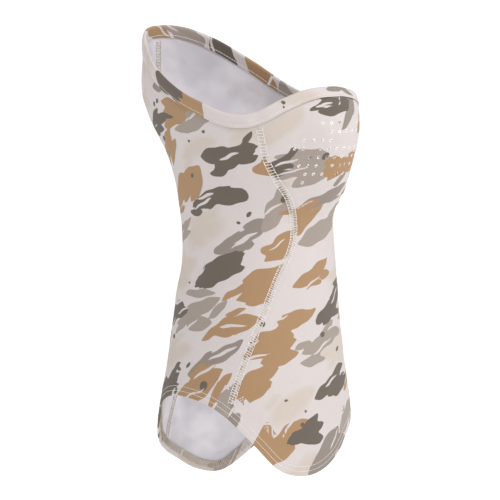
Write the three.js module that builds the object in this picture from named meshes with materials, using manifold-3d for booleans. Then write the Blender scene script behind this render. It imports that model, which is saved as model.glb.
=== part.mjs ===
// A shaped neck gaiter, worn: a knitted tube with a nose and mouth cup, a narrow throat and a front and
// a back lobe below the shoulders. Millimetres, +Z up, the face looks along -Y and the wearer's left is +X.
// The origin is the middle of the throat, where the neck holds the gaiter.
import * as THREE from "three";
import { mergeVertices } from "three/addons/utils/BufferGeometryUtils.js";
import Module from "manifold-3d";

const wasm = await Module();
wasm.setup();

// Driving dimensions.
const CLOTH = 0.8; // thickness of one layer of the knit
const GAP = 0.5; // clearance between touching pieces
const THREAD = 0.5; // thickness of a stitched row
const HEM_TURN = 10; // height of the cloth turned up inside at the hem
const HEM_STEP = 0.6; // the raw edge of that turn
const BINDING_OUTSIDE = 12; // binding leg outside the cloth
const BINDING_INSIDE = 12; // binding leg inside the cloth
const BINDING_JOIN_ANGLE = 109; // where the binding's two ends meet
const TOPSTITCH_DEPTH = 9.5; // binding's topstitch, below the rim
const HEM_ROWS = [4.4, 8.8]; // the two needle rows, above the hem edge
const ROW_WIDTH = 0.9; // width of one needle row
const SEAM_WIDTH = 6; // width of a flatlock seam's thread cover
const SEAM_CUT = 0.2; // half of the slit between two panels
const HOLE_RADIUS = 0.9;
const HOLE_PITCH = 7.8; // spacing of the breathing holes, both ways
const HOLE_TOP = 122; // height of the top row of holes
const BODY_ROWS = 22; // rows of facets between the hem and the binding

// The worn section is two half ellipses that meet at the sides: half width, front depth and back depth
// against height. The rim, the hem and the seams are heights and angles on that surface. Angles are in
// degrees from the middle of the face, positive towards the wearer's left.
const HALF_WIDTH = [
  [-240, 101], [-180, 98], [-150, 94], [-120, 88], [-80, 79], [-40, 72], [-10, 68],
  [20, 66], [60, 68], [95, 73], [130, 76], [160, 76], [205, 73],
];
const FRONT_DEPTH = [
  [-240, 85], [-180, 84], [-120, 80.5], [-60, 79.5], [-15, 78], [12, 76.5], [33, 78], [60, 93],
  [90, 101.5], [118, 103], [138, 101], [156, 90], [205, 78],
];
const BACK_DEPTH = [
  [-240, 106], [-180, 95], [-150, 88], [-120, 82], [-80, 78.5], [-45, 74], [-15, 67], [10, 68],
  [35, 74.5], [60, 80.5], [90, 95], [112, 113], [132, 124.5], [165, 126], [205, 123],
];
const RIM = [
  [-210, 191], [-180, 199], [-150, 191], [-120, 163], [-90, 139], [-64, 129], [-40, 144],
  [-22, 152], [0, 153], [22, 146], [40, 138], [64, 127], [100, 142.5], [120, 165], [140, 185.5],
  [155, 195], [180, 199], [210, 191],
];
const HEM = [
  [-195, -230], [-180, -217], [-160, -196], [-135, -153], [-90, -132], [-62, -147], [-45, -171],
  [-30, -195], [-12, -203.5], [12, -191], [24, -176], [38, -165], [75, -148], [110, -168],
  [133, -212], [150, -235], [165, -231], [180, -217], [200, -196],
];
const FRONT_SEAM = [
  [-260, 64], [-133, 60], [-69, 49], [-40, 42], [-13, 34], [3, 27], [18, 24], [36, 26],
  [50, 33], [70, 45], [86, 51], [115, 55], [160, 57],
];
const BACK_SEAM = [[-240, 192], [-150, 192], [-80, 185], [-20, 180], [205, 180]];

// The nose pushes the cup forwards over a patch with a flat top.
const NOSE = { reach: 9, halfAngle: 24, height: 118, spread: 34 };

// Breathing holes, row by row from the top: the columns that are cut, counted from the middle both ways.
const HOLE_ROWS = [
  [2, 3, 4], [1, 2, 3], [3, 4, 5, 6], [1, 2, 3, 4, 6, 7], [1, 2, 3, 4, 5], [1, 2, 4, 5, 6], [1, 3, 4, 5], [5],
];

const rad = THREE.MathUtils.degToRad;

// A smooth curve through [x, y] knots.
function smooth(knots, x) {
  const last = knots.length - 2;
  const clamped = THREE.MathUtils.clamp(x, knots[0][0], knots[last + 1][0]);
  let i = 0;
  while (i < last && clamped > knots[i + 1][0]) i += 1;
  const width = (k) => knots[k + 1][0] - knots[k][0];
  const slope = (k) => (knots[k + 1][1] - knots[k][1]) / width(k);
  const tangent = (k) => {
    if (k === 0) return slope(0);
    if (k === last + 1) return slope(last);
    return (slope(k - 1) * width(k) + slope(k) * width(k - 1)) / (width(k) + width(k - 1));
  };
  const s = (clamped - knots[i][0]) / width(i);
  const rise = s * s * (3 - 2 * s);
  const leave = s * (1 - s) * (1 - s) * width(i) * tangent(i);
  const arrive = s * s * (s - 1) * width(i) * tangent(i + 1);
  return knots[i][1] * (1 - rise) + knots[i + 1][1] * rise + leave + arrive;
}

const wrap = (angle) => THREE.MathUtils.euclideanModulo(angle + 180, 360) - 180;
const rimHeight = (angle) => smooth(RIM, wrap(angle));
const hemHeight = (angle) => smooth(HEM, wrap(angle));
const frontSeam = (z) => smooth(FRONT_SEAM, z);
const backSeam = (z) => smooth(BACK_SEAM, z);

// A point on the outer face of the cloth.
function facePoint(angle, z) {
  const a = rad(angle);
  const depth = smooth(Math.cos(a) > 0 ? FRONT_DEPTH : BACK_DEPTH, z);
  const across = Math.exp(-((wrap(angle) / NOSE.halfAngle) ** 4));
  const nose = NOSE.reach * across * Math.exp(-(((z - NOSE.height) / NOSE.spread) ** 2));
  return new THREE.Vector3(smooth(HALF_WIDTH, z) * Math.sin(a), -depth * Math.cos(a) - nose, z);
}

function faceFrame(angle, z) {
  const step = 0.5;
  const around = facePoint(angle + step, z).sub(facePoint(angle - step, z)).divideScalar(2 * step);
  const up = facePoint(angle, z + step).sub(facePoint(angle, z - step)).divideScalar(2 * step);
  return { around, up, normal: around.clone().cross(up).normalize() };
}

// A point at a distance outside the outer face; a negative distance is inside it.
function offPoint([angle, z], distance) {
  return facePoint(angle, z).addScaledVector(faceFrame(angle, z).normal, distance);
}

// Walks from a place on the cloth along a direction in its surface, and returns the new place.
function walk([angle, z], direction, distance) {
  const steps = Math.max(1, Math.ceil(Math.abs(distance) / 3));
  let place = [angle, z];
  for (let i = 0; i < steps; i += 1) {
    const { around, up } = faceFrame(place[0], place[1]);
    const v = direction.clone().multiplyScalar(distance / steps);
    const [aa, ab, bb] = [around.dot(around), around.dot(up), up.dot(up)];
    const [va, vb] = [v.dot(around), v.dot(up)];
    const scale = aa * bb - ab * ab;
    place = [place[0] + (va * bb - vb * ab) / scale, place[1] + (vb * aa - va * ab) / scale];
  }
  return place;
}

// The place at a distance square to an edge of the tube, going up the cloth where it is positive.
function fromEdge(edgeHeight, angle, distance) {
  const step = 0.5;
  const along = facePoint(angle + step, edgeHeight(angle + step));
  along.sub(facePoint(angle - step, edgeHeight(angle - step))).normalize();
  const place = [angle, edgeHeight(angle)];
  const upwards = faceFrame(...place).normal.clone().cross(along);
  return walk(place, upwards, distance);
}

// A closed solid from section rings. Point i of a ring faces point (last - i) across the section.
function sweep(rings, loop) {
  const n = rings[0].length;
  const positions = rings.flat().flatMap((p) => [p.x, p.y, p.z]);
  const index = [];
  const quad = (a, b, c, d) => index.push(a, b, c, a, c, d);
  const count = loop ? rings.length : rings.length - 1;
  for (let r = 0; r < count; r += 1) {
    const next = (r + 1) % rings.length;
    for (let i = 0; i < n; i += 1) {
      const j = (i + 1) % n;
      quad(r * n + i, next * n + i, next * n + j, r * n + j);
    }
  }
  if (!loop) {
    const end = (rings.length - 1) * n;
    for (let i = 0; i < n / 2 - 1; i += 1) {
      quad(i, i + 1, n - 2 - i, n - 1 - i);
      quad(end + i + 1, end + i, end + n - 1 - i, end + n - 2 - i);
    }
  }
  const geometry = new THREE.BufferGeometry();
  geometry.setAttribute("position", new THREE.Float32BufferAttribute(positions, 3));
  geometry.setIndex(index);
  return geometry;
}

function material(colour, roughness) {
  return new THREE.MeshStandardMaterial({ color: colour, roughness, metalness: 0 });
}

const knit = material(0xd8ccc0, 0.85);
const bindingKnit = material(0xcfc3b6, 0.85);
const paleThread = material(0xe6dfd8, 0.7);
const looperThread = material(0xcdbfa6, 0.75);

function mesh(name, geometry, look) {
  geometry.computeVertexNormals();
  const piece = new THREE.Mesh(geometry, look);
  piece.name = name;
  return piece;
}

// The rows of a panel. Each is a distance above the hem, a distance below the rim or a share of the rest.
function clothRows() {
  const rows = [0, HEM_TURN / 2, HEM_TURN].map((above) => ({ above, inner: -2 * CLOTH }));
  rows.push({ above: HEM_TURN + HEM_STEP, inner: -CLOTH });
  for (let i = 0; i <= BODY_ROWS; i += 1) rows.push({ share: i / BODY_ROWS, inner: -CLOTH });
  const rawEdge = CLOTH + GAP; // the binding folds over the raw top edge
  [18, 12, 6.5, rawEdge].forEach((below) => rows.push({ below, inner: -CLOTH }));
  return rows;
}

function rowHeight(row, angle) {
  const hem = hemHeight(angle);
  const rim = rimHeight(angle);
  const steepness = (edgeHeight) => (fromEdge(edgeHeight, angle, 5)[1] - edgeHeight(angle)) / 5;
  if (row.above !== undefined) return hem + row.above / steepness(hemHeight);
  if (row.below !== undefined) return rim - row.below / steepness(rimHeight);
  return THREE.MathUtils.lerp(hem + 25, rim - 27, row.share);
}

// Where a row crosses a line that runs down the cloth, given as an angle for each height.
function crossing(row, line) {
  let z = 0;
  for (let i = 0; i < 40; i += 1) z = z * 0.4 + rowHeight(row, line(z)) * 0.6;
  return [line(z), z];
}

// One cut piece of cloth between two seams, with its hem already turned up inside.
function panelGeometry(rightEdge, leftEdge, columns) {
  const rows = clothRows();
  const rings = [];
  for (let c = 0; c <= columns; c += 1) {
    const line = (z) => THREE.MathUtils.lerp(rightEdge(z), leftEdge(z), c / columns);
    const places = rows.map((row) => crossing(row, line));
    const outer = places.map((at) => offPoint(at, 0));
    const inner = places.map((at, i) => offPoint(at, rows[i].inner));
    rings.push([...outer, ...inner.reverse()]);
  }
  return sweep(rings, false);
}

const asSolid = (geometry) => {
  const bare = new THREE.BufferGeometry();
  bare.setAttribute("position", geometry.getAttribute("position").clone());
  if (geometry.index) bare.setIndex(geometry.index.clone());
  const merged = mergeVertices(bare, 1e-5);
  return new wasm.Manifold(new wasm.Mesh({
    numProp: 3,
    vertProperties: new Float32Array(merged.getAttribute("position").array),
    triVerts: new Uint32Array(merged.index.array),
  }));
};

const asGeometry = (solid) => {
  const result = solid.getMesh();
  const geometry = new THREE.BufferGeometry();
  geometry.setAttribute("position", new THREE.BufferAttribute(result.vertProperties, 3));
  geometry.setIndex(new THREE.BufferAttribute(result.triVerts, 1));
  return geometry;
};

// The place on a level line at a distance round the cup from the middle of the face.
function roundCup(z, distance) {
  let angle = 0;
  let gone = 0;
  const step = Math.sign(distance) * 0.25;
  while (gone < Math.abs(distance)) {
    gone += facePoint(angle + step, z).distanceTo(facePoint(angle, z));
    angle += step;
  }
  return [angle, z];
}

function holeCutter([angle, z]) {
  const length = 8;
  const pin = new THREE.CylinderGeometry(HOLE_RADIUS, HOLE_RADIUS, length, 6);
  const { normal } = faceFrame(angle, z);
  pin.applyQuaternion(new THREE.Quaternion().setFromUnitVectors(new THREE.Vector3(0, 1, 0), normal));
  const at = facePoint(angle, z);
  pin.translate(at.x, at.y, at.z);
  return asSolid(pin);
}

function frontPanel() {
  const margin = (z) => frontSeam(z) - THREE.MathUtils.radToDeg(SEAM_CUT / smooth(HALF_WIDTH, z));
  let solid = asSolid(panelGeometry((z) => -margin(z), margin, 28));
  HOLE_ROWS.forEach((columns, row) => {
    const z = HOLE_TOP - row * HOLE_PITCH;
    for (const column of columns) {
      for (const side of [-1, 1]) {
        solid = solid.subtract(holeCutter(roundCup(z, side * (column - 0.5) * HOLE_PITCH)));
      }
    }
  });
  return mesh("front_panel", asGeometry(solid), knit);
}

function sidePanel(name, side) {
  const slit = (z) => THREE.MathUtils.radToDeg(SEAM_CUT / smooth(HALF_WIDTH, z));
  const front = (z) => frontSeam(z) + slit(z);
  if (side > 0) {
    return mesh(name, panelGeometry(front, (z) => backSeam(z) - slit(z), 20), knit);
  }
  const back = (z) => backSeam(z) + slit(z) - 360;
  return mesh(name, panelGeometry(back, (z) => -front(z), 20), knit);
}

// Angles once round the tube from a start, closer together round the face.
function roundAngles(start) {
  const angles = [];
  for (let a = start; a < start + 360; a += Math.abs(wrap(a)) < 60 ? 4 : 6) angles.push(a);
  return angles;
}

// The self-fabric strip folded over the raw edge, from one end of the strip round to the other.
function topBinding() {
  const outside = GAP + CLOTH;
  const inside = -CLOTH - GAP - CLOTH;
  const endGap = 0.3;
  const angles = roundAngles(BINDING_JOIN_ANGLE + endGap);
  angles.push(BINDING_JOIN_ANGLE + 360 - endGap);
  const rings = angles.map((angle) => {
    const at = (below, offset) => offPoint(fromEdge(rimHeight, angle, -below), offset);
    return [
      at(BINDING_OUTSIDE, outside), at(BINDING_OUTSIDE / 2, outside), at(0, outside),
      at(0, inside), at(BINDING_INSIDE / 2, inside), at(BINDING_INSIDE, inside),
      at(BINDING_INSIDE, inside + CLOTH), at(BINDING_INSIDE / 2, inside + CLOTH), at(CLOTH, inside + CLOTH),
      at(CLOTH, GAP), at(BINDING_OUTSIDE / 2, GAP), at(BINDING_OUTSIDE, GAP),
    ];
  });
  return mesh("top_binding", sweep(rings, false), bindingKnit);
}

// A flat ribbon of stitches along a run of places on the cloth.
function ribbon(places, width, low, high, loop) {
  const rings = places.map((at, i) => {
    const before = places[loop ? (i + places.length - 1) % places.length : Math.max(0, i - 1)];
    const after = places[loop ? (i + 1) % places.length : Math.min(places.length - 1, i + 1)];
    const along = facePoint(...after).sub(facePoint(...before)).normalize();
    const across = faceFrame(...at).normal.clone().cross(along).normalize();
    const left = walk(at, across, width / 2);
    const right = walk(at, across, -width / 2);
    return [offPoint(right, low), offPoint(right, high), offPoint(left, high), offPoint(left, low)];
  });
  return sweep(rings, loop);
}

// Places up a seam, from a distance above the hem to a distance below the rim, with the cloth's own rows.
function seamRun(seam, above, below) {
  const bottom = crossing({ above }, seam);
  const top = crossing({ below }, seam);
  const between = clothRows()
    .map((row) => crossing(row, seam))
    .filter(([, z]) => z > bottom[1] + 1 && z < top[1] - 1);
  return [bottom, ...between, top];
}

function seamThreads(name, seam) {
  const clearance = 4; // the seams meet the edges at a slant
  const outer = seamRun(seam, HEM_ROWS[1] + clearance, BINDING_OUTSIDE + clearance);
  const inner = seamRun(seam, HEM_TURN + HEM_STEP + clearance, BINDING_INSIDE + clearance);
  return [
    mesh(`${name}_cover_thread`, ribbon(outer, SEAM_WIDTH, GAP, GAP + THREAD, false), paleThread),
    mesh(
      `${name}_looper_thread`,
      ribbon(inner, SEAM_WIDTH, -CLOTH - GAP - THREAD, -CLOTH - GAP, false),
      looperThread,
    ),
  ];
}

function edgeRow(name, edgeHeight, distance, width, low, look) {
  const places = roundAngles(0).map((angle) => fromEdge(edgeHeight, angle, distance));
  return mesh(name, ribbon(places, width, low, low + THREAD, true), look);
}

function bindingJoinStitch() {
  const top = 1.5;
  const steps = 3;
  const low = -2 * CLOTH - 2 * GAP - THREAD;
  const places = Array.from({ length: steps + 1 }, (_, i) =>
    fromEdge(rimHeight, BINDING_JOIN_ANGLE, -top - ((BINDING_INSIDE - 2 * top) * i) / steps));
  return mesh("binding_join_stitch", ribbon(places, 3, low, low + THREAD, false), paleThread);
}

const gaiter = new THREE.Group();
gaiter.add(
  frontPanel(),
  sidePanel("right_side_panel", -1),
  sidePanel("left_side_panel", 1),
  topBinding(),
  ...seamThreads("front_right_seam", (z) => -frontSeam(z)),
  ...seamThreads("front_left_seam", frontSeam),
  ...seamThreads("centre_back_seam", backSeam),
  edgeRow("binding_topstitch", rimHeight, -TOPSTITCH_DEPTH, ROW_WIDTH, 2 * GAP + CLOTH, paleThread),
  bindingJoinStitch(),
  edgeRow("hem_upper_needle_thread", hemHeight, HEM_ROWS[1], ROW_WIDTH, GAP, paleThread),
  edgeRow("hem_lower_needle_thread", hemHeight, HEM_ROWS[0], ROW_WIDTH, GAP, paleThread),
  edgeRow(
    "hem_looper_thread",
    hemHeight,
    (HEM_ROWS[0] + HEM_ROWS[1]) / 2,
    HEM_ROWS[1] - HEM_ROWS[0],
    -2 * CLOTH - GAP - THREAD,
    looperThread,
  ),
);

export default gaiter;
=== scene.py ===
"""A shaped neck gaiter, worn: printed knit panels, a folded top binding, flatlock seams and a stitched hem.

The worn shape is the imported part's own: the same curves, in millimetres, with +Z up, the face looking along
-Y and angles in degrees from the middle of the face, positive towards the wearer's left.
"""

import math

import bpy
import numpy as np
from mathutils import Matrix, Vector


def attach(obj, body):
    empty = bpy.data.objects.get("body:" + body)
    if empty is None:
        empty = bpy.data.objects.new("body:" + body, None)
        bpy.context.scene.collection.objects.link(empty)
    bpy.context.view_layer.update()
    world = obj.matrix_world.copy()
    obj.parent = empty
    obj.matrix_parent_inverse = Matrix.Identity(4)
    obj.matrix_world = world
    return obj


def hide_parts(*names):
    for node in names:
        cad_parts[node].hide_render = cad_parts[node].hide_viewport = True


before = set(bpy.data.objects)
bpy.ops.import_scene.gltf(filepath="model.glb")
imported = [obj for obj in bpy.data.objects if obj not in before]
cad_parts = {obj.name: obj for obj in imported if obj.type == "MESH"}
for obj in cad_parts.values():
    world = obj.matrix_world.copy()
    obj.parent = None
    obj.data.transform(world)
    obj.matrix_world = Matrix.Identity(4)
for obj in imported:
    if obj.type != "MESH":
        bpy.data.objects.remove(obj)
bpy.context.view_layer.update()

MM = 0.001  # the shape is worked out in millimetres, and Blender's objects are in metres

# Cloth and its folds.
CLOTH = 0.7  # thickness of the panels' knit
HEM_TURN = 10.0  # height of the cloth turned up inside at the hem
HEM_AIR = 0.3  # space inside the turned hem
RAW_TOP = 1.3  # the panels' raw top edge, below the rim
BINDING = 0.56  # thickness of the binding's knit
JOIN_ANGLE = 109  # where the binding's two ends meet
SEAM_CUT = 0.05  # half of the slit between two panels
GRID = 2.0  # spacing of the panels' mesh
BODY_ROWS = 190  # rows of a panel between the hem's and the rim's
FRONT_COLUMNS, SIDE_COLUMNS = 90, 122  # of the panels' meshes

# Stitching.
TOPSTITCH = 9.5  # below the rim
HEM_ROWS = (4.4, 8.8)  # needle rows above the hem
FLATLOCK = 6.0  # width of the flatlock seams
FLATLOCK_PITCH = [(-240, 2.2), (-40, 2.1), (0, 1.7), (40, 1.7), (62, 2.5), (160, 2.7)]  # against height
NEEDLE_PITCH = 2.3  # of the flatlock seams' straight rows
MIDDLE_ROW_TOP = 110  # where the seams' middle row stops, below the rim
THREAD = 0.42

# Breathing holes: the columns that are cut in each row from the top, counted from the middle both ways.
HOLE_RADIUS = 0.4
# radius of the pure white ring painted round each hole: painted light from the bright inside seen through it
HOLE_LIGHT_RING = 1.4
HOLE_PITCH = 7.8
HOLE_TOP = 122
HOLE_ROWS = [
    [2, 3, 4], [1, 2, 3], [3, 4, 5, 6], [1, 2, 3, 4, 6, 7],
    [1, 2, 3, 4, 5], [1, 2, 4, 5, 6], [1, 3, 4, 5], [5],
]

# The worn section is two half ellipses that meet at the sides: half width and depths against height.
HALF_WIDTH = [
    (-240, 101), (-180, 98), (-150, 94), (-120, 88), (-80, 79), (-40, 72), (-10, 68),
    (20, 66), (60, 68), (95, 73), (130, 76), (160, 76), (205, 73),
]
FRONT_DEPTH = [
    (-240, 85), (-180, 84), (-120, 80.5), (-60, 79.5), (-15, 78), (12, 76.5), (33, 78), (60, 93),
    (90, 101.5), (118, 103), (138, 101), (156, 90), (205, 78),
]
BACK_DEPTH = [
    (-240, 106), (-180, 95), (-150, 88), (-120, 82), (-80, 78.5), (-45, 74), (-15, 67), (10, 68),
    (35, 74.5), (60, 80.5), (90, 95), (112, 113), (132, 124.5), (165, 126), (205, 123),
]
NOSE_REACH, NOSE_ANGLE, NOSE_HEIGHT, NOSE_SPREAD = 9, 24, 118, 34

# The edges are heights against angle, and the seams angles against height.
RIM = [
    (-210, 191), (-180, 199), (-150, 191), (-120, 163), (-90, 139), (-64, 129), (-40, 144),
    (-22, 152), (0, 153), (22, 146), (40, 138), (64, 127), (100, 142.5), (120, 165), (140, 185.5),
    (155, 195), (180, 199), (210, 191),
]
HEM = [
    (-195, -230), (-180, -217), (-160, -196), (-135, -153), (-90, -132), (-62, -147), (-45, -171),
    (-30, -195), (-12, -203.5), (12, -191), (24, -176), (38, -165), (75, -148), (110, -168),
    (133, -212), (150, -235), (165, -231), (180, -217), (200, -196),
]
FRONT_SEAM = [
    (-260, 64), (-133, 60), (-69, 49), (-40, 42), (-13, 34), (3, 27), (18, 24), (36, 26),
    (50, 33), (70, 45), (86, 51), (115, 55), (160, 57),
]
BACK_SEAM = [(-240, 192), (-150, 192), (-80, 185), (-20, 180), (205, 180)]


# ---------------------------------------------------------------- the worn shape

def smooth(knots, x):
    """A smooth curve through (x, y) knots, held level past its ends."""
    xs, ys = np.array(knots, float).T
    width = np.diff(xs)
    slope = np.diff(ys) / width
    tangent = np.empty_like(ys)
    tangent[0] = slope[0]
    tangent[-1] = slope[-1]
    tangent[1:-1] = (slope[:-1] * width[1:] + slope[1:] * width[:-1]) / (width[1:] + width[:-1])
    x = np.clip(x, xs[0], xs[-1])
    i = np.clip(np.searchsorted(xs, x) - 1, 0, len(xs) - 2)
    s = (x - xs[i]) / width[i]
    rise = s * s * (3 - 2 * s)
    leave = s * (1 - s) ** 2 * width[i] * tangent[i]
    arrive = s * s * (s - 1) * width[i] * tangent[i + 1]
    return ys[i] * (1 - rise) + ys[i + 1] * rise + leave + arrive


def wrap(angle):
    return (np.asarray(angle, float) + 180) % 360 - 180


def rim_height(angle):
    return smooth(RIM, wrap(angle))


def hem_height(angle):
    return smooth(HEM, wrap(angle))


def front_seam(z):
    return smooth(FRONT_SEAM, z)


def back_seam(z):
    return smooth(BACK_SEAM, z)


def lerp(a, b, share):
    return a + (b - a) * share


def unit(v):
    return v / np.linalg.norm(v, axis=-1, keepdims=True)


def bump(x, width):
    """A smooth bump of height 1 about x = 0."""
    return np.exp(-(x / width) ** 2)


def face(angle, z):
    """Points on the cloth's outer face before it creases."""
    a = np.radians(angle)
    z = np.asarray(z, float) + np.zeros_like(a)
    depth = np.where(np.cos(a) > 0, smooth(FRONT_DEPTH, z), smooth(BACK_DEPTH, z))
    across = np.exp(-(wrap(angle) / NOSE_ANGLE) ** 4)
    nose = NOSE_REACH * across * bump(z - NOSE_HEIGHT, NOSE_SPREAD)
    return np.stack([smooth(HALF_WIDTH, z) * np.sin(a), -depth * np.cos(a) - nose, z], axis=-1)


def face_frame(angle, z):
    """How the face runs on round the tube per degree and up it per millimetre, and its outward normal."""
    step = 0.5
    around = (face(angle + step, z) - face(angle - step, z)) / (2 * step)
    up = (face(angle, z + step) - face(angle, z - step)) / (2 * step)
    return around, up, unit(np.cross(around, up))


def girth_table():
    angles = np.arange(-220.0, 221.0, 2.0)
    heights = np.arange(-250.0, 211.0, 5.0)
    a, z = np.meshgrid(angles, heights, indexing="ij")
    steps = np.linalg.norm(np.diff(face(a, z), axis=0), axis=2)
    lengths = np.vstack([np.zeros(len(heights)), np.cumsum(steps, axis=0)])
    return angles, heights, lengths - lengths[len(angles) // 2]


GIRTH = girth_table()


def girth(angle, z):
    """The length of cloth round the tube from the middle of the face, at a height."""
    angles, heights, lengths = GIRTH
    a = np.clip((angle - angles[0]) / 2.0, 0, len(angles) - 1.001)
    h = np.clip((z - heights[0]) / 5.0, 0, len(heights) - 1.001)
    i = a.astype(int)
    j = h.astype(int)
    low = lerp(lengths[i, j], lengths[i + 1, j], a - i)
    high = lerp(lengths[i, j + 1], lengths[i + 1, j + 1], a - i)
    return lerp(low, high, h - j)


def seam_distance(angle, z, seam):
    """How far round the cloth a place is from a seam."""
    return np.radians(wrap(angle - seam(z))) * smooth(HALF_WIDTH, z)


# Gentle waves in the cloth: how many go round the tube, their length up it, their phase and their height.
WAVES = [
    (5, 460, 0.4, 0.45), (3, -380, 2.1, 0.5), (6, 122, 4.0, 0.3), (8, -420, 1.2, 0.22), (2, 48, 5.1, 0.15),
    (21, 66, 0.3, 0.08), (23, -29, 2.7, 0.06), (11, 14.5, 4.4, 0.04),
]


def ripple(angle, z, waves):
    total = 0
    for around, length, phase, height in waves:
        total = total + height * np.sin(np.radians(around * angle) + 2 * math.pi * z / length + phase)
    return total


def relief(angle, z):
    """How far the creased cloth stands off its plain worn shape."""
    out = ripple(angle, z, WAVES)
    for side in (-1, 1):
        gap = seam_distance(side * angle, z, front_seam)
        out = out - 0.2 * bump(gap, 3.2) + 0.3 * bump(abs(gap) - 7, 4)
        out = out + 0.13 * bump(gap, 7) * np.sin(2 * math.pi * z / 7.4 + 1.3 * side)
        out = out + cup_puckers(gap, z)
    gap = seam_distance(angle, z, back_seam)
    out = out - 0.2 * bump(gap, 3.2) + 0.2 * bump(abs(gap) - 7, 4)
    return out + 0.1 * bump(gap, 7) * np.sin(2 * math.pi * z / 8.3)


# Fans of short creases in the cup beside its seam: their height, how far up and down they go, how much they
# slope and how deep they are.
CUP_CREASES = [(56, 24, 0.45, 0.75), (101, 14, 0.6, 0.4)]
CREASE_PITCH = 8.5


def cup_puckers(gap, z):
    """The fans of creases beside the cup seam, and the hollow across it from its lower corner."""
    beside = np.clip(-gap / 4, 0, 1) * np.exp(np.minimum(gap, 0) / 22)
    out = -0.9 * bump(gap - 9, 7) * bump(z - 34, 20)
    for height, reach, slope, depth in CUP_CREASES:
        fan = np.sin(2 * math.pi * (z - height + slope * gap) / CREASE_PITCH)
        out = out + depth * beside * bump(z - height, reach) * fan
    return out


def cloth(angle, z, out=0.0):
    """Points at a distance outside the creased cloth's outer face; inside it where that is negative."""
    normal = face_frame(angle, z)[2]
    return face(angle, z) + normal * (relief(angle, z) + out)[..., None]


def walk(angle, z, direction, distance):
    """Goes along the cloth in a direction for a distance, and gives the new angle and height."""
    steps = 5
    for _ in range(steps):
        around, up, _ = face_frame(angle, z)
        v = direction * (distance / steps)[..., None]
        aa = (around * around).sum(-1)
        ab = (around * up).sum(-1)
        bb = (up * up).sum(-1)
        va = (v * around).sum(-1)
        vb = (v * up).sum(-1)
        scale = aa * bb - ab * ab
        angle = angle + (va * bb - vb * ab) / scale
        z = z + (vb * aa - va * ab) / scale
    return angle, z


def edge_direction(edge, angle):
    step = 0.5
    return unit(face(angle + step, edge(angle + step)) - face(angle - step, edge(angle - step)))


def from_edge(edge, angle, distance):
    """The place at a distance square to an edge of the tube, up the cloth where it is positive."""
    angle, distance = np.broadcast_arrays(np.asarray(angle, float), np.asarray(distance, float))
    z = edge(angle)
    upwards = np.cross(face_frame(angle, z)[2], edge_direction(edge, angle))
    return walk(angle, z, upwards, distance)


# ---------------------------------------------------------------- meshes

def new_piece(name, points, faces, attributes=None, crease=40):
    """A mesh object from points in millimetres, smooth but for edges sharper than the crease angle."""
    mesh = bpy.data.meshes.new(name)
    mesh.from_pydata((np.asarray(points) * MM).tolist(), [], [list(f) for f in faces])
    for key, values in (attributes or {}).items():
        kind = "FLOAT_VECTOR" if values.ndim == 2 else "FLOAT"
        attribute = mesh.attributes.new(key, kind, "POINT")
        field = "vector" if values.ndim == 2 else "value"
        attribute.data.foreach_set(field, values.astype(np.float32).ravel())
    mesh.validate()
    mesh.shade_smooth()
    mesh.set_sharp_from_angle(angle=math.radians(crease))
    piece = bpy.data.objects.new(name, mesh)
    bpy.context.scene.collection.objects.link(piece)
    return piece


def sweep_faces(rings, n):
    """The faces of a closed solid of section rings, whose point i faces point n - 1 - i across it."""
    i = np.arange(n)
    j = (i + 1) % n
    r = np.arange(rings - 1)[:, None] * n
    sides = np.stack([r + i, r + n + i, r + n + j, r + j], axis=-1).reshape(-1, 4)
    k = np.arange(n // 2 - 1)
    start = np.stack([k, k + 1, n - 2 - k, n - 1 - k], axis=-1)
    end = (rings - 1) * n + np.stack([k + 1, k, n - 1 - k, n - 2 - k], axis=-1)
    return np.vstack([sides, start, end])


def tubes(points, normals, width, height, taper=1.0, sides=6):
    """Points and faces of closed, flattened tubes along runs of points: (run, point, xyz) arrays."""
    along = unit(np.gradient(points, axis=1))
    across = unit(np.cross(normals, along))
    upright = np.cross(along, across)
    turn = np.arange(sides) * 2 * math.pi / sides
    size = np.ones(points.shape[1])
    size[0] = size[-1] = taper
    ring = across[:, :, None] * (np.cos(turn) * width / 2)[:, None]
    ring = ring + upright[:, :, None] * (np.sin(turn) * height / 2)[:, None]
    vertices = points[:, :, None] + ring * size[:, None, None]
    runs, n = points.shape[:2]
    i = np.arange(sides)
    j = (i + 1) % sides
    r = np.arange(n - 1)[:, None] * sides
    walls = np.stack([r + i, r + j, r + sides + j, r + sides + i], axis=-1).reshape(-1, 4)
    step = np.arange(runs)[:, None, None] * n * sides
    faces = (walls[None] + step).reshape(-1, 4).tolist()
    for run in range(runs):
        first = run * n * sides
        last = first + (n - 1) * sides
        faces.append(list(range(first + sides - 1, first - 1, -1)))
        faces.append(list(range(last, last + sides)))
    return vertices.reshape(-1, 3), faces


def joined(parts):
    """One list of points and one of faces from several."""
    points = []
    faces = []
    count = 0
    for part_points, part_faces in parts:
        points.append(part_points)
        faces += [[v + count for v in f] for f in part_faces]
        count += len(part_points)
    return np.vstack(points), faces


# ---------------------------------------------------------------- panels

def steepness_table(edge):
    """How far a millimetre of height is from an edge, for angles once round and more."""
    angles = np.arange(-225.0, 226.0, 1.0)
    up = face_frame(angles, edge(angles))[1]
    return angles, np.linalg.norm(np.cross(up, edge_direction(edge, angles)), axis=-1)


HEM_STEEPNESS = steepness_table(hem_height)
RIM_STEEPNESS = steepness_table(rim_height)
HEM_ZONE, RIM_ZONE = 25, 27  # heights of the rows that follow the hem and the rim


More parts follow.
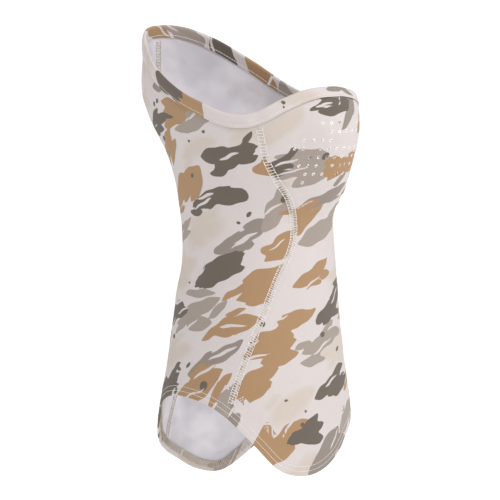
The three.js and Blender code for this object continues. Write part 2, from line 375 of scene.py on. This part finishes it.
def panel_rows():
    """Rows of a panel from its turned raw edge, round the hem and up to the top raw edge.

    Each is how it is placed, its distance or share, how far outside the face its print and lining sides are,
    how much lower its lining side is, and the length of cloth that has gone by below the hem.
    """
    fold = CLOTH + HEM_AIR / 2
    inside = -2 * fold
    rows = []
    for above in np.linspace(HEM_TURN, fold, 6, endpoint=False):
        rows.append(("above", above, above, inside, inside + CLOTH, above - fold + math.pi * fold / 2))
    for turn in np.linspace(math.pi, 0, 8):
        small = HEM_AIR / 2
        rows.append((
            "above", fold - fold * math.sin(turn), fold - small * math.sin(turn),
            -fold + fold * math.cos(turn), -fold + small * math.cos(turn), (turn - math.pi / 2) * fold,
        ))
    for above in np.arange(fold + GRID / 2, HEM_ZONE, GRID):
        rows.append(("above", above, above, 0, -CLOTH, -above))
    for share in np.linspace(0, 1, BODY_ROWS):
        rows.append(("share", share, share, 0, -CLOTH, 0))
    for below in np.append(np.arange(RIM_ZONE - GRID, RAW_TOP, -GRID), RAW_TOP):
        rows.append(("below", below, below, 0, -CLOTH, 0))
    return rows


def row_heights(kinds, distances, angle):
    hem = hem_height(angle)
    rim = rim_height(angle)
    above = hem + distances / np.interp(angle, *HEM_STEEPNESS)
    below = rim - distances / np.interp(angle, *RIM_STEEPNESS)
    between = lerp(hem + HEM_ZONE, rim - RIM_ZONE, distances)
    return np.where(kinds == "above", above, np.where(kinds == "below", below, between))


def crossings(kinds, distances, right, left, shares):
    """The places where rows cross the lines at shares of the way from a panel's right to its left edge."""
    z = np.zeros((len(shares), len(kinds)))
    for _ in range(30):
        angle = lerp(right(z), left(z), shares[:, None])
        z = 0.4 * z + 0.6 * row_heights(kinds, distances, angle)
    return lerp(right(z), left(z), shares[:, None]), z


def panel(name, right, left, middle, columns, pattern):
    """A cut panel of cloth between two seams, its hem turned up inside, with its place in the print."""
    rows = panel_rows()
    kinds = np.array([row[0] for row in rows])
    outer_at, inner_at, outer_off, inner_off, gone = np.array([row[1:] for row in rows]).T
    shares = np.linspace(0, 1, columns + 1)
    sides = []
    for distances, off in ((outer_at, outer_off), (inner_at, inner_off)):
        angle, z = crossings(kinds, distances, right, left, shares)
        points = cloth(angle, z, off + np.zeros_like(z))
        hem = hem_height(angle)
        up = np.where(kinds == "above", np.minimum(z, hem - gone), z)
        across = girth(angle, z) - girth(np.full_like(z, middle), z)
        sides.append((points, np.stack([across, up, np.zeros_like(z)], axis=-1)))
    points = np.concatenate([sides[0][0], sides[1][0][:, ::-1]], axis=1)
    place = np.concatenate([sides[0][1], sides[1][1][:, ::-1]], axis=1)
    lining = np.concatenate([np.zeros(len(rows)), np.ones(len(rows))]) + np.zeros(points.shape[:2])
    faces = sweep_faces(len(shares), 2 * len(rows))
    attributes = {"print_place": place.reshape(-1, 3), "lining": lining.ravel()}
    attributes.update(painted(pattern, place[..., 0], place[..., 1]))
    return new_piece(name, points.reshape(-1, 3), faces, attributes)


def slit(z):
    return np.degrees(SEAM_CUT / smooth(HALF_WIDTH, z))


def round_cup(z, distance):
    """The angle at a distance round the cup from the middle of the face."""
    angles = np.arange(-90.0, 90.5, 0.5)
    return np.interp(distance, girth(angles, np.full_like(angles, z)), angles)


def hole_cutters():
    """Pins through the front panel, one for each breathing hole."""
    starts = []
    ends = []
    for row, columns in enumerate(HOLE_ROWS):
        z = np.array(HOLE_TOP - row * HOLE_PITCH, float)
        for column in columns:
            for side in (-1, 1):
                angle = np.array(round_cup(z, side * (column - 0.5) * HOLE_PITCH))
                starts.append(cloth(angle, z, np.array(-3.0)))
                ends.append(cloth(angle, z, np.array(3.0)))
    points = np.stack([starts, ends], axis=1)
    sideways = np.zeros_like(points) + (0.0, 0.0, 1.0)
    return new_piece("hole_cutters", *tubes(points, sideways, 2 * HOLE_RADIUS, 2 * HOLE_RADIUS, sides=20))


def cut(piece, cutters):
    """Cuts the cutters out of a piece and removes them."""
    modifier = piece.modifiers.new("cut", "BOOLEAN")
    modifier.operation = "DIFFERENCE"
    modifier.solver = "MANIFOLD"
    modifier.object = cutters
    bpy.context.view_layer.update()
    shape = bpy.data.meshes.new_from_object(piece.evaluated_get(bpy.context.evaluated_depsgraph_get()))
    piece.modifiers.remove(modifier)
    piece.data = shape
    bpy.data.objects.remove(cutters)


# ---------------------------------------------------------------- binding

def binding_path():
    """The middle of the binding's cloth across the rim: depths below it and distances outside the cloth."""
    inside_leg = [(12, -1.2), (9.5, -1.2), (7.5, -1.4), (5, -1.65), (3, -1.85)]
    centre, radius = (1.85, -0.4), 1.5
    over = [
        (centre[0] - radius * math.sin(t), centre[1] - radius * math.cos(t))
        for t in np.linspace(0, math.pi, 9)
    ]
    outside_leg = [(4, 1.42), (6.2, 1.5), (8.2, 1.22), (9.5, 1.0), (10.5, 1.08), (11.3, 1.2)]
    lip = [(11.7, 1.0), (11.75, 0.75), (11.3, 0.47)]
    under = [(9.5, 0.44), (7, 0.46)]
    return np.array(inside_leg + over + outside_leg + lip + under)


def resampled(path, spacing):
    """The same path as a smooth curve with even steps."""
    length = np.append(0, np.cumsum(np.linalg.norm(np.diff(path, axis=0), axis=1)))
    at = np.linspace(0, length[-1], int(length[-1] / spacing) + 1)
    return np.stack([smooth(list(zip(length, path[:, k])), at) for k in (0, 1)], axis=-1)


BINDING_WAVES = [(10, 1, 0.5, 0.2), (17, 1, 2.2, 0.14)]
TOPSTITCH_PUCKERS = 112  # round the rim
LIP_WAVES = 13


def binding_puff(angle, depth, off):
    """How far outside the cloth a point of the binding is, once the strip swells between its stitches."""
    swell = bump(depth - 5, 4) * np.sign(off + 0.4) * ripple(angle, 0, BINDING_WAVES)
    pucker = 0.1 * bump(depth - TOPSTITCH, 3) * np.sin(np.radians(TOPSTITCH_PUCKERS * angle))
    lip = 0.2 * bump(depth - 12, 1.6) * (1 + np.sin(np.radians(LIP_WAVES * angle))) * (off > 0)
    return off + swell + pucker + lip


def top_binding(name):
    path = resampled(binding_path(), 0.7)
    normal = np.stack([-np.gradient(path[:, 1]), np.gradient(path[:, 0])], axis=-1)
    normal = normal / np.linalg.norm(normal, axis=1, keepdims=True)
    print_side = path + normal * BINDING / 2
    back_side = path - normal * BINDING / 2
    section = np.vstack([print_side, back_side[::-1]])
    angles = np.linspace(JOIN_ANGLE + 0.15, JOIN_ANGLE + 359.85, 300)
    depth, off = section.T
    angle, z = from_edge(rim_height, angles[:, None], -depth[None])
    points = cloth(angle, z, binding_puff(angles[:, None], depth, off))
    length = np.append(0, np.cumsum(np.linalg.norm(np.diff(path, axis=0), axis=1)))
    run = np.append(0, np.cumsum(np.linalg.norm(np.diff(face(angles, rim_height(angles)), axis=0), axis=1)))
    across = np.broadcast_to(run[:, None], points.shape[:2])
    up = np.broadcast_to(np.append(length, length[::-1]), points.shape[:2])
    place = np.stack([across, up, np.zeros_like(up)], axis=-1)
    lining = np.append(np.zeros(len(path)), np.ones(len(path))) + np.zeros(points.shape[:2])
    attributes = {"print_place": place.reshape(-1, 3), "lining": lining.ravel()}
    attributes.update(painted(camouflage(*PRINTS["top_binding"]), place[..., 0], place[..., 1]))
    return new_piece(name, points.reshape(-1, 3), sweep_faces(len(angles), len(section)), attributes)


# ---------------------------------------------------------------- stitching

class Run:
    """A line on the cloth measured along its length, with distances across it positive to its left."""

    def __init__(self, angle, z, off=None):
        self.angle = angle
        self.z = z
        self.off = off if off is not None else np.zeros_like(z)
        points = face(angle, z)
        self.along = unit(np.gradient(points, axis=0))
        self.t = np.append(0, np.cumsum(np.linalg.norm(np.diff(points, axis=0), axis=1)))
        self.length = self.t[-1]

    def points(self, t, across, out):
        """Points and normals at lengths along the line, distances across it and distances off the cloth."""
        angle = np.interp(t, self.t, self.angle)
        z = np.interp(t, self.t, self.z)
        along = np.stack([np.interp(t, self.t, self.along[:, k]) for k in range(3)], axis=-1)
        left = unit(np.cross(face_frame(angle, z)[2], along))
        angle, z = walk(angle, z, left, across)
        lift = np.interp(t, self.t, self.off)
        return cloth(angle, z, out + lift), face_frame(angle, z)[2]


def seam_run(seam, above, below):
    """The line up a seam from a distance above the hem to a distance below the rim."""
    kinds = np.array(["above", "below"])
    ends = crossings(kinds, np.array([above, below], float), seam, seam, np.zeros(1))[1][0]
    z = np.linspace(ends[0], ends[1], 260)
    return Run(seam(z), z)


def edge_run(edge, distance, start=-180.0, off=None):
    angles = np.linspace(start, start + 360, 520)
    angle, z = from_edge(edge, angles, distance)
    return Run(angle, z, off(angles) if off else None)


def serpentine(run, width, pitch, out, thickness, slant=0.0, samples=12):
    """A thread laid to and fro across a line, with a rung for each pitch, all leaning the same way."""
    rungs = np.append(0, np.cumsum(np.diff(run.t) / smooth(pitch, run.z[1:])))
    count = int(rungs[-1])
    gone = np.linspace(0, count, count * samples + 1)
    t = abs(slant) + np.interp(gone, rungs, run.t) * (1 - 2 * abs(slant) / run.length)
    swing = np.clip(3.5 * np.cos(math.pi * gone), -1, 1)
    rise = 0.3 * thickness * (1 - np.abs(swing)) * (1 if out > 0 else -1)
    points, normals = run.points(t + slant * swing, swing * width / 2, out + rise)
    return tubes(points[None], normals[None], thickness, thickness * 0.8)


def evenly(pitch):
    """The same pitch at every height."""
    return [(-300, pitch), (0, pitch), (300, pitch)]


def needle_row(run, across, pitch, out, thickness, cover=0.86):
    """Single straight stitches along a line, each dipping into the cloth at its ends."""
    count = int(run.length / pitch)
    share = np.linspace(0, 1, 6)
    t = (np.arange(count)[:, None] + 0.5 + cover * (share - 0.5)) * pitch
    dip = np.sin(math.pi * share) ** 0.6
    side = 1 if out >= 0 else -1
    off = out - side * 0.55 * thickness * (1 - dip)
    points, normals = run.points(t, np.full_like(t, across), off + np.zeros_like(t))
    return tubes(points, normals, thickness, thickness * 0.8, taper=0.55)


def flatlock_cover(name, seam):
    """The outside of a flatlock seam: a cover thread to and fro, held by rows of needle stitches."""
    run = seam_run(seam, HEM_ROWS[1] + 3, 12.6)
    parts = [serpentine(run, FLATLOCK - 0.3, FLATLOCK_PITCH, 0.2, 0.62, slant=0.5)]
    for across in (-0.5, 0.5):
        parts.append(needle_row(run, across * FLATLOCK, NEEDLE_PITCH, 0.3, 0.55))
    low = seam_run(seam, HEM_ROWS[1] + 3, MIDDLE_ROW_TOP)
    parts.append(needle_row(low, 0.0, NEEDLE_PITCH, 0.42, 0.5))
    return new_piece(name, *joined(parts), crease=80)


def flatlock_looper(name, seam):
    """The inside of a flatlock seam."""
    run = seam_run(seam, HEM_TURN + 1, 13)
    parts = [serpentine(run, FLATLOCK - 0.6, FLATLOCK_PITCH, -CLOTH - 0.2, 0.6, slant=-0.5)]
    for across in (-0.5, 0.5):
        parts.append(needle_row(run, across * (FLATLOCK - 0.6), NEEDLE_PITCH, -CLOTH - 0.35, 0.45))
    return new_piece(name, *joined(parts), crease=80)


def hem_row(name, distance):
    run = edge_run(hem_height, distance)
    return new_piece(name, *needle_row(run, 0.0, 2.7, 0.12, THREAD, cover=0.9), crease=80)


def hem_looper(name):
    """The coverstitch's looper thread, across both needle rows and over the raw edge inside the hem."""
    run = edge_run(hem_height, (HEM_ROWS[0] + HEM_TURN) / 2)
    inside = -2 * CLOTH - HEM_AIR
    parts = [serpentine(run, HEM_TURN - HEM_ROWS[0] + 0.6, evenly(2.0), inside - 0.25, 0.6, slant=0.4)]
    return new_piece(name, *joined(parts), crease=80)


def binding_topstitch(name):
    """The row that holds the binding, outside and inside."""
    outside = edge_run(rim_height, -TOPSTITCH, JOIN_ANGLE + 1.0, lambda a: binding_puff(a, TOPSTITCH, 1.0))
    inside = edge_run(rim_height, -TOPSTITCH, JOIN_ANGLE + 1.0, lambda a: binding_puff(a, TOPSTITCH, -1.2))
    parts = [
        needle_row(outside, 0.0, 2.9, BINDING / 2 + 0.12, THREAD, cover=0.9),
        needle_row(inside, 0.0, 2.9, -BINDING / 2 - 0.2, 0.55, cover=0.9),
    ]
    return new_piece(name, *joined(parts), crease=80)


def binding_join(name):
    """The short close stitches across the binding where its two ends meet."""
    depths = np.linspace(1.4, 11.4, 26)
    spacing = 0.4
    inside_leg = 11  # length of the binding's path that lies inside the rim
    angle, z = from_edge(rim_height, np.full_like(depths, JOIN_ANGLE), -depths)
    leg = resampled(binding_path(), spacing)[: int(inside_leg / spacing)]
    off = np.interp(depths, leg[::-1, 0], leg[::-1, 1])
    run = Run(angle, z, binding_puff(np.full_like(depths, JOIN_ANGLE), depths, off))
    return new_piece(name, *serpentine(run, 2.4, evenly(0.6), -BINDING / 2 - 0.25, 0.6), crease=80)


# ---------------------------------------------------------------- materials

def srgb(r, g, b):
    """A colour given in 0 to 255 screen values, as Blender's linear one."""
    return tuple(((c / 255 + 0.055) / 1.055) ** 2.4 for c in (r, g, b)) + (1.0,)


class Shader:
    """The nodes of one material, added by short calls."""

    def __init__(self, name):
        self.material = bpy.data.materials.new(name)
        self.material.use_nodes = True
        self.tree = self.material.node_tree
        self.surface = self.tree.nodes["Principled BSDF"]

    def put(self, socket, value):
        if isinstance(value, bpy.types.NodeSocket):
            self.tree.links.new(value, socket)
        else:
            socket.default_value = value

    def add(self, kind, inputs, **settings):
        """A node with its settings, and its inputs by name or number."""
        node = self.tree.nodes.new(kind)
        for key, value in settings.items():
            setattr(node, key, value)
        for key, value in inputs.items():
            self.put(node.inputs[key], value)
        return node

    def attribute(self, name, output):
        return self.add("ShaderNodeAttribute", {}, attribute_name=name).outputs[output]

    def math(self, operation, *values):
        return self.add("ShaderNodeMath", dict(enumerate(values)), operation=operation).outputs[0]

    def vector(self, operation, *values):
        node = self.add("ShaderNodeVectorMath", dict(enumerate(values)), operation=operation)
        return node.outputs["Value" if operation == "LENGTH" else "Vector"]

    def noise(self, place, scale, detail):
        node = self.add("ShaderNodeTexNoise", {"Vector": place, "Scale": scale, "Detail": detail})
        return node.outputs[0]

    def mix(self, share, first, second):
        node = self.add("ShaderNodeMix", {0: share, 6: first, 7: second}, data_type="RGBA")
        return node.outputs[2]

    def ramp(self, value, low, high, start=0.0, end=1.0):
        node = self.add("ShaderNodeMapRange", {0: value, 1: low, 2: high, 3: start, 4: end})
        return node.outputs[0]

    def finish(self, colour, height, depth, roughness, sheen):
        """Sets a cloth or thread surface from its colour and the height of its relief."""
        relief_node = self.add("ShaderNodeBump", {"Strength": 1.0, "Distance": depth, "Height": height})
        self.put(self.surface.inputs["Base Color"], colour)
        self.put(self.surface.inputs["Normal"], relief_node.outputs[0])
        self.surface.inputs["Roughness"].default_value = roughness
        self.surface.inputs["Specular IOR Level"].default_value = 0.25
        self.surface.inputs["Sheen Weight"].default_value = sheen
        self.surface.inputs["Sheen Roughness"].default_value = 0.5
        return self.material


BARE = srgb(214, 205, 203)
# The print's layers, each painted over the ones before it: its colour and how soft its edge is, in mm.
LAYERS = {
    "haze": (srgb(207, 195, 185), 3.4),
    "umber": (srgb(148, 137, 129), 0.15),
    "grey": (srgb(164, 152, 143), 0.15),
    "tan": (srgb(172, 138, 103), 0.15),
    "dark": (srgb(107, 97, 88), 0.15),
    "bare": (BARE, 0.15),
}
SHOW_THROUGH = 0.07  # how much of the print shows on the lining side
LINING = srgb(238, 234, 238)
# darker lining colour for blotches of painted shade, standing in for the shade of soft folds on the inside
LINING_FOLD_SHADE = srgb(214, 210, 215)


def knit_height(s, place):
    """Interlocking rows of small V stitches."""
    wale, course = 0.9, 0.8
    split = s.add("ShaderNodeSeparateXYZ", {0: place})
    across = s.math("COSINE", s.math("MULTIPLY", split.outputs[0], 2 * math.pi / wale))
    lift = s.math("MULTIPLY_ADD", across, 1.4, s.math("MULTIPLY", split.outputs[1], 2 * math.pi / course))
    return s.math("MULTIPLY_ADD", across, 0.5, s.math("MULTIPLY", s.math("SINE", lift), 0.35))


def printed_knit(name, holes=False):
    """Pale knit printed with the brush strokes that its mesh carries, and its unprinted lining side."""
    s = Shader(name)
    place = s.attribute("print_place", "Vector")
    bleed = s.math("MULTIPLY_ADD", s.noise(place, 1.1, 1.0), 0.5, -0.25)
    crisp = BARE
    # the lining side: plain lining with soft blotches of painted fold shade scattered at random
    soft = s.mix(s.ramp(s.noise(place, 0.02, 2.0), 0.4, 0.6), LINING_FOLD_SHADE, LINING)
    for layer, (colour, edge) in LAYERS.items():
        field = s.math("ADD", s.attribute(layer, "Fac"), bleed)
        crisp = s.mix(s.ramp(field, edge, -edge), crisp, colour)
        soft = s.mix(s.ramp(field, 2.0, -2.0, 0.0, SHOW_THROUGH), soft, colour)
    if holes:
        # a pure white ring round each hole: painted light, standing in for the bright inside seen through the
        # hole
        crisp = s.mix(hole_light_rings(s, place), crisp, srgb(255, 254, 253))
    colour = s.mix(s.attribute("lining", "Fac"), crisp, soft)
    mottle = s.ramp(s.noise(place, 0.7, 3.0), 0.3, 0.7)
    return s.finish(s.mix(mottle, dimmed(s, colour), colour), knit_height(s, place), 0.00012, 0.88, 0.12)


def dimmed(s, colour):
    """The same colour a little darker, for the hollows of the yarn."""
    return s.mix(0.06, colour, (0.05, 0.04, 0.04, 1.0))


def hole_light_rings(s, place):
    """A pure white ring round each cut hole: painted light, standing in for the bright inside seen through
    the hole.
    """
    split = s.add("ShaderNodeSeparateXYZ", {0: place})
    aside = s.math("ABSOLUTE", split.outputs[0])
    mirrored = s.add("ShaderNodeCombineXYZ", {0: aside, 1: split.outputs[1]}).outputs[0]
    nearest = 99.0
    for row, columns in enumerate(HOLE_ROWS):
        for column in columns:
            centre = ((column - 0.5) * HOLE_PITCH, HOLE_TOP - row * HOLE_PITCH, 0)
            nearest = s.math("MINIMUM", nearest, s.vector("LENGTH", s.vector("SUBTRACT", mirrored, centre)))
    return s.ramp(nearest, HOLE_LIGHT_RING + 0.1, HOLE_LIGHT_RING - 0.1)


def yarn(name, colour, shadow):
    """Spun polyester sewing thread: fine twist, slight shade changes and a soft gloss."""
    s = Shader(name)
    place = s.add("ShaderNodeTexCoord", {}).outputs["Object"]
    twist = s.add(
        "ShaderNodeTexWave", {"Vector": place, "Scale": 900.0, "Distortion": 3.0, "Detail": 1.0},
        bands_direction="DIAGONAL",
    ).outputs[1]
    patch = s.noise(place, 260.0, 2.0)
    mixed = s.mix(s.ramp(patch, 0.3, 0.75), shadow, colour)
    mixed = s.mix(s.ramp(twist, 0.0, 1.0, 0.0, 0.25), mixed, shadow)
    return s.finish(mixed, twist, 0.00005, 0.6, 0.1)


# ---------------------------------------------------------------- the print

# A generic camouflage. Its strokes are scattered by chance, the same each time: staggered patches of them
# take the layers in turn. A stroke is its middle across and up, its half length, its half width, its tilt in
# degrees and, where its ends are frayed, how much.
BLEND = 1.5  # how far strokes of one layer run into each other, in millimetres
PATCH_LAYERS = ("tan", "dark", "grey", "tan", "haze", "dark", "tan", "grey", "haze", "umber")
LAYER_STEP = 3  # how many layers on each row starts from the one below
PATCH_ACROSS, PATCH_UP = 48, 36  # how far apart patches are
PATCH_SHIFT = 0.28  # how far chance moves a patch, as a share of that
PATCH_SIZE = (20, 34)  # half length of a patch's main stroke
PATCH_WIDTH = (0.22, 0.34)  # its half width, as a share of that
PATCH_TILT = (12, 44)
FRAY = (0, 0.8)
# The smaller strokes of a patch: how many, how far aside they lie and how long they are as shares of its
# size, how wide they are as a share of their length, and how far they lean from its tilt.
FINGERS = (3, 7), 0.42, (0.3, 0.75), (0.16, 0.45), 26
SLITS = (0, 3), 0.35, (0.35, 0.6), (0.05, 0.1), 12
SPECKS = (2, 5), 0.9, (0.05, 0.13), (0.6, 0.9), 40
SPECKLED = 0.3  # share of the patches that have specks
# Each piece's print: its seed, and the stretches across and up that it covers.
PRINTS = {
    "front_panel": (1, (-130, 130), (-270, 200)),
    "right_side_panel": (2, (-200, 130), (-270, 230)),
    "left_side_panel": (3, (-130, 200), (-270, 230)),
    "top_binding": (4, (0, 640), (2, 36)),
}


def strokes_near(draw, patch, kind):
    """The smaller strokes of one kind in a patch."""
    across, up, size, tilt = patch
    count, reach, length, width, lean = kind
    turn = math.radians(tilt)
    strokes = []
    for _ in range(draw.integers(*count)):
        along = draw.uniform(-0.9, 0.9) * size
        aside = draw.uniform(-reach, reach) * size
        half_length = size * draw.uniform(*length)
        strokes.append((
            across + along * math.cos(turn) - aside * math.sin(turn),
            up + along * math.sin(turn) + aside * math.cos(turn),
            half_length, half_length * draw.uniform(*width), tilt + draw.uniform(-lean, lean),
        ))
    return strokes


def camouflage(seed, across, up):
    """A print of scattered patches over a stretch across and a stretch up."""
    draw = np.random.default_rng(seed)
    layers = {layer: [] for layer in LAYERS}
    for row, height in enumerate(np.arange(*up, PATCH_UP)):
        for column, middle in enumerate(np.arange(*across, PATCH_ACROSS)):
            layer = PATCH_LAYERS[(column + LAYER_STEP * row) % len(PATCH_LAYERS)]
            size = draw.uniform(*PATCH_SIZE)
            stagger = row % 2 / 2 + draw.uniform(-PATCH_SHIFT, PATCH_SHIFT)
            lift = draw.uniform(-PATCH_SHIFT, PATCH_SHIFT)
            tilt = draw.uniform(*PATCH_TILT)
            patch = (middle + stagger * PATCH_ACROSS, height + lift * PATCH_UP, size, tilt)
            width = size * draw.uniform(*PATCH_WIDTH)
            fray = draw.uniform(*FRAY) if layer == "dark" else 0
            layers[layer].append((*patch[:3], width, tilt, fray))
            layers[layer] += strokes_near(draw, patch, FINGERS)
            if layer != "haze":
                layers["bare"] += strokes_near(draw, patch, SLITS)
            if draw.uniform() < SPECKLED:
                layers["dark"] += strokes_near(draw, patch, SPECKS)
    return layers


def distance_to(stroke, across, up):
    """How far places are outside one brush stroke, in millimetres; negative inside it."""
    middle, height, length, width, tilt, *fray = stroke
    turn = math.radians(tilt)
    x = (across - middle) * math.cos(turn) + (up - height) * math.sin(turn)
    y = (up - height) * math.cos(turn) - (across - middle) * math.sin(turn)
    if length > 2.5 * width:
        distance = np.abs(y) - width * (1 - np.abs(x / length) ** 3)  # a leaf with two points
    else:
        distance = width * (np.hypot(x / length, y / width) - 1)
    if fray:
        tip = np.clip(np.abs(x) / length, 0, 1)
        distance = distance + fray[0] * np.sin(1.9 * y + 0.9 * np.sin(x / 9)) * tip
    return distance


def painted(pattern, across, up):
    """The distances outside each of a print's layers, as attributes for a mesh."""
    bend = 0.9 * np.sin(across / 7.3 + up / 11.9 + 1.1) + 0.6 * np.sin(across / 3.1 - up / 4.7)
    sway = 0.9 * np.sin(up / 8.1 - across / 13.3 + 0.4) + 0.6 * np.sin(up / 3.6 + across / 4.1 + 2.0)
    fields = {}
    for layer, strokes in pattern.items():
        field = np.full_like(across, 50.0)
        for stroke in strokes:
            distance = distance_to(stroke, across + bend, up + sway)
            near = np.clip(BLEND - np.abs(field - distance), 0, None)
            field = np.minimum(field, distance) - near ** 2 / (4 * BLEND)
        fields[layer] = field.ravel()
    return fields


# ---------------------------------------------------------------- the gaiter

def dress(piece, material, slot, *nodes):
    """Gives a piece its material and its body, and hides the parts of the frame that it stands for; its slot
    is not used.
    """
    piece.data.materials.clear()
    piece.data.materials.append(material)
    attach(piece, "root")
    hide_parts(*nodes)
    return piece


def cup_edge(z):
    return front_seam(z) - slit(z)


def side_edge(z):
    return front_seam(z) + slit(z)


def right_front_edge(z):
    return -side_edge(z)


def left_back_edge(z):
    return back_seam(z) - slit(z)


def right_back_edge(z):
    return back_seam(z) + slit(z) - 360


def build_cloth():
    front_print = camouflage(*PRINTS["front_panel"])
    right_print = camouflage(*PRINTS["right_side_panel"])
    left_print = camouflage(*PRINTS["left_side_panel"])
    front = panel("front_panel_cloth", lambda z: -cup_edge(z), cup_edge, 0, FRONT_COLUMNS, front_print)
    cut(front, hole_cutters())
    right = panel("right_side_panel_cloth", right_back_edge, right_front_edge, -90, SIDE_COLUMNS, right_print)
    left = panel("left_side_panel_cloth", side_edge, left_back_edge, 90, SIDE_COLUMNS, left_print)
    binding = top_binding("top_binding_cloth")
    knit = printed_knit("printed knit")
    dress(front, printed_knit("printed knit with holes", holes=True), "printed_knit", "front_panel")
    dress(right, knit, "printed_knit", "right_side_panel")
    dress(left, knit, "printed_knit", "left_side_panel")
    dress(binding, knit, "binding_knit", "top_binding")
    return front, right, left, binding


def build_stitches():
    pale = yarn("pale thread", srgb(244, 240, 236), srgb(230, 223, 216))
    looper = yarn("looper thread", srgb(222, 213, 198), srgb(186, 173, 152))
    seams = {
        "front_right_seam": lambda z: -front_seam(z),
        "front_left_seam": front_seam,
        "centre_back_seam": back_seam,
    }
    for name, seam in seams.items():
        cover = flatlock_cover(f"{name}_cover_stitches", seam)
        dress(cover, pale, "pale_thread", f"{name}_cover_thread")
        under = flatlock_looper(f"{name}_looper_stitches", seam)
        dress(under, looper, "looper_thread", f"{name}_looper_thread")
    dress(binding_topstitch("binding_topstitches"), pale, "pale_thread", "binding_topstitch")
    dress(binding_join("binding_join_stitches"), pale, "pale_thread", "binding_join_stitch")
    dress(hem_row("hem_upper_needle_stitches", HEM_ROWS[1]), pale, "pale_thread", "hem_upper_needle_thread")
    dress(hem_row("hem_lower_needle_stitches", HEM_ROWS[0]), pale, "pale_thread", "hem_lower_needle_thread")
    dress(hem_looper("hem_looper_stitches"), looper, "looper_thread", "hem_looper_thread")


# ---------------------------------------------------------------- floor, light and camera

def build_floor():
    size = 300  # so wide that its far edge is level with the horizon
    level = -0.5
    corners = [(x, y, level) for x, y in ((-size, -size), (size, -size), (size, size), (-size, size))]
    floor = bpy.data.meshes.new("floor")
    floor.from_pydata(corners, [], [(0, 1, 2, 3)])
    piece = bpy.data.objects.new("floor", floor)
    bpy.context.scene.collection.objects.link(piece)
    paint = bpy.data.materials.new("floor paint")
    paint.use_nodes = True
    surface = paint.node_tree.nodes["Principled BSDF"]
    surface.inputs["Base Color"].default_value = (0.45, 0.45, 0.45, 1.0)
    surface.inputs["Roughness"].default_value = 0.9
    surface.inputs["Emission Color"].default_value = (1, 1, 1, 1)
    surface.inputs["Emission Strength"].default_value = 0.82
    floor.materials.append(paint)


def direction(azimuth, elevation):
    a = math.radians(azimuth)
    e = math.radians(elevation)
    return Vector((math.sin(a) * math.cos(e), -math.cos(a) * math.cos(e), math.sin(e)))


def softbox(name, azimuth, elevation, distance, size, power):
    """A round soft lamp that looks at the origin: angles in degrees, metres and watts."""
    lamp = bpy.data.lights.new(name, "AREA")
    lamp.shape = "DISK"
    lamp.size = size
    lamp.energy = power
    piece = bpy.data.objects.new(name, lamp)
    towards = direction(azimuth, elevation)
    piece.location = towards * distance
    piece.rotation_euler = towards.to_track_quat("Z", "Y").to_euler()
    bpy.context.scene.collection.objects.link(piece)


def build_light():
    world = bpy.data.worlds.new("studio")
    world.use_nodes = True
    background = world.node_tree.nodes["Background"]
    background.inputs["Color"].default_value = (1.0, 1.0, 1.0, 1.0)
    background.inputs["Strength"].default_value = 0.5
    bpy.context.scene.world = world
    softbox("key", 14, 36, 2.6, 1.5, 33)
    softbox("fill", -100, 20, 2.8, 1.8, 3)
    softbox("top", -62, 60, 2.4, 1.4, 17)
    bpy.context.scene.view_settings.view_transform = "Standard"


def build_camera():
    azimuth, elevation, distance = -48, 8, 2.6
    away = direction(azimuth, elevation)
    right = Vector((math.cos(math.radians(azimuth)), math.sin(math.radians(azimuth)), 0))
    up = away.cross(right)
    camera = bpy.data.cameras.new("camera")
    camera.sensor_width = 36
    camera.lens = 201.3
    piece = bpy.data.objects.new("camera", camera)
    turn = Matrix((right, up, away)).transposed().to_4x4()
    aim = -0.0056 * right - 0.00465 * up
    piece.matrix_world = Matrix.Translation(away * distance + aim) @ turn
    bpy.context.scene.collection.objects.link(piece)
    bpy.context.scene.camera = piece


build_camera()
for sheet in build_cloth():
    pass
build_stitches()
build_floor()
build_light()
